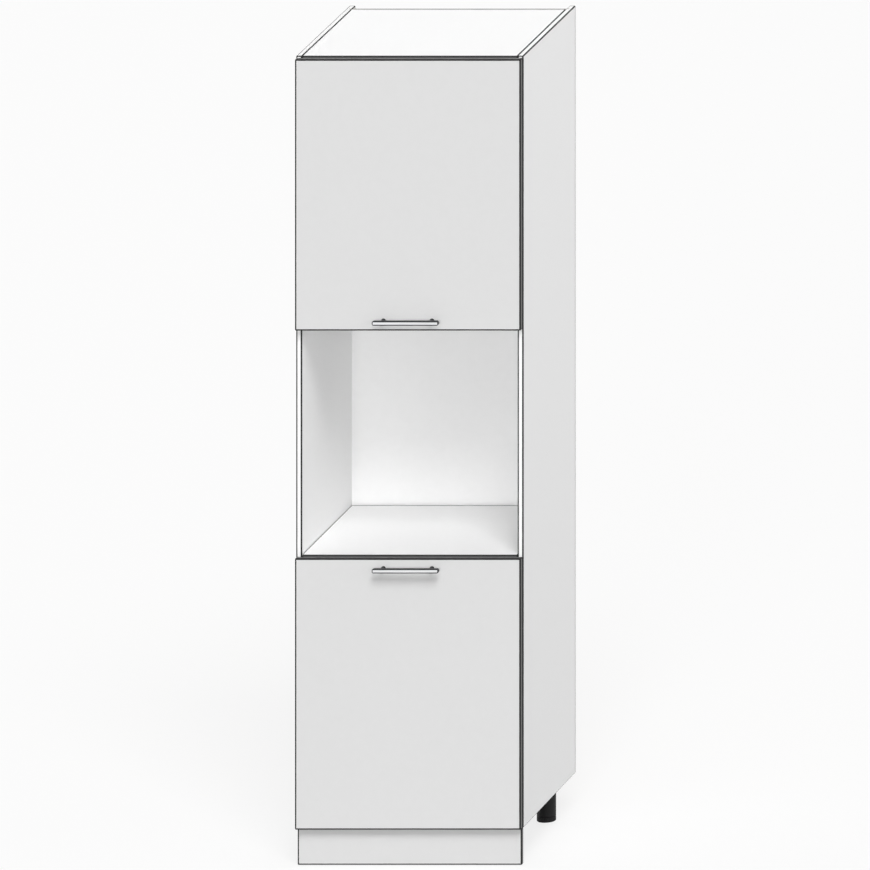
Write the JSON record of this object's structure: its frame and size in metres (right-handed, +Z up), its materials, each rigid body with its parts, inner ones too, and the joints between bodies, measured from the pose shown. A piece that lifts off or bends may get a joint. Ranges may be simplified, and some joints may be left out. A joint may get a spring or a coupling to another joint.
{
  "type": "kitchen cabinet",
  "caption": "Tall light-grey kitchen cabinet with an open oven niche between an upper and a lower side-hung door, bar handles, a plinth and black levelling legs.",
  "frame": {"origin": "floor point under the middle of the bounding box", "axes": "+X to the right as seen from the front, +Y to the wall, +Z up; the doors face -Y"},
  "size_m": [0.6, 0.611, 2.136],
  "materials": {
    "melamine_board": "white melamine-faced chipboard with thin edge banding",
    "door_front": "light grey laminated door board with dark grey edge banding",
    "plinth_board": "light grey laminated chipboard",
    "back_sheet": "hardboard, white lacquer inside and raw brown behind",
    "handle_metal": "satin brushed and anodised",
    "black_plastic": "moulded, fine grain",
    "nickel_steel": "pressed steel, nickel plated",
    "zinc_steel": "bright zinc plated",
    "zinc_casting": "raw zinc die casting",
    "beech": "plain fluted beech",
    "clear_rubber": "soft translucent bumper"
  },
  "bodies": {
    "carcass": {"back_panel": "back_sheet", "bottom_panel": "melamine_board", "cam_bolts": "zinc_steel", "cam_locks": "zinc_casting", "front_left_leg_mount": "black_plastic", "front_left_leg_tube": "black_plastic", "front_right_leg_mount": "black_plastic", "front_right_leg_tube": "black_plastic", "hinge_plate_screws": "zinc_steel", "left_plinth_clip": "black_plastic", "left_side_panel": "melamine_board", "lower_door_high_hinge_arm": "nickel_steel", "lower_door_high_hinge_plate": "nickel_steel", "lower_door_low_hinge_arm": "nickel_steel", "lower_door_low_hinge_plate": "nickel_steel", "lower_shelf": "melamine_board", "niche_ceiling": "melamine_board", "niche_floor": "melamine_board", "plinth": "plinth_board", "plinth_clip_screws": "zinc_steel", "rear_left_leg_mount": "black_plastic", "rear_left_leg_tube": "black_plastic", "rear_right_leg_mount": "black_plastic", "rear_right_leg_tube": "black_plastic", "right_plinth_clip": "black_plastic", "right_side_panel": "melamine_board", "shelf_pins": "zinc_steel", "top_panel": "melamine_board", "upper_door_high_hinge_arm": "nickel_steel", "upper_door_high_hinge_plate": "nickel_steel", "upper_door_low_hinge_arm": "nickel_steel", "upper_door_low_hinge_plate": "nickel_steel", "upper_shelf_high": "melamine_board", "upper_shelf_low": "melamine_board", "wood_dowels": "beech"},
    "upper_leaf": {"upper_door": "door_front", "upper_door_bumpers": "clear_rubber", "upper_door_cup_screws": "zinc_steel", "upper_door_high_hinge_cup": "nickel_steel", "upper_door_high_hinge_pin": "nickel_steel", "upper_door_low_hinge_cup": "nickel_steel", "upper_door_low_hinge_pin": "nickel_steel", "upper_handle_bar": "handle_metal", "upper_handle_posts": "handle_metal", "upper_handle_screws": "zinc_steel"},
    "lower_leaf": {"lower_door": "door_front", "lower_door_bumpers": "clear_rubber", "lower_door_cup_screws": "zinc_steel", "lower_door_high_hinge_cup": "nickel_steel", "lower_door_high_hinge_pin": "nickel_steel", "lower_door_low_hinge_cup": "nickel_steel", "lower_door_low_hinge_pin": "nickel_steel", "lower_handle_bar": "handle_metal", "lower_handle_posts": "handle_metal", "lower_handle_screws": "zinc_steel"},
    "front_left_levelling_foot": {"front_left_leg_foot": "black_plastic"},
    "front_right_levelling_foot": {"front_right_leg_foot": "black_plastic"},
    "rear_left_levelling_foot": {"rear_left_leg_foot": "black_plastic"},
    "rear_right_levelling_foot": {"rear_right_leg_foot": "black_plastic"}
  },
  "joints": [
    {"name": "upper_door_hinge", "type": "hinge", "parent": "carcass", "child": "upper_leaf", "pos_m": [-0.29, -0.2665, 1.774], "axis": [0, 0, -1], "range_deg": [0, 100]},
    {"name": "lower_door_hinge", "type": "hinge", "parent": "carcass", "child": "lower_leaf", "pos_m": [-0.29, -0.2665, 0.458], "axis": [0, 0, -1], "range_deg": [0, 100]},
    {"name": "front_left_foot_screw", "type": "slide", "parent": "carcass", "child": "front_left_levelling_foot", "axis": [0, 0, -1], "range_m": [0, 0.02]},
    {"name": "front_right_foot_screw", "type": "slide", "parent": "carcass", "child": "front_right_levelling_foot", "axis": [0, 0, -1], "range_m": [0, 0.02]},
    {"name": "rear_left_foot_screw", "type": "slide", "parent": "carcass", "child": "rear_left_levelling_foot", "axis": [0, 0, -1], "range_m": [0, 0.02]},
    {"name": "rear_right_foot_screw", "type": "slide", "parent": "carcass", "child": "rear_right_levelling_foot", "axis": [0, 0, -1], "range_m": [0, 0.02]}
  ]
}
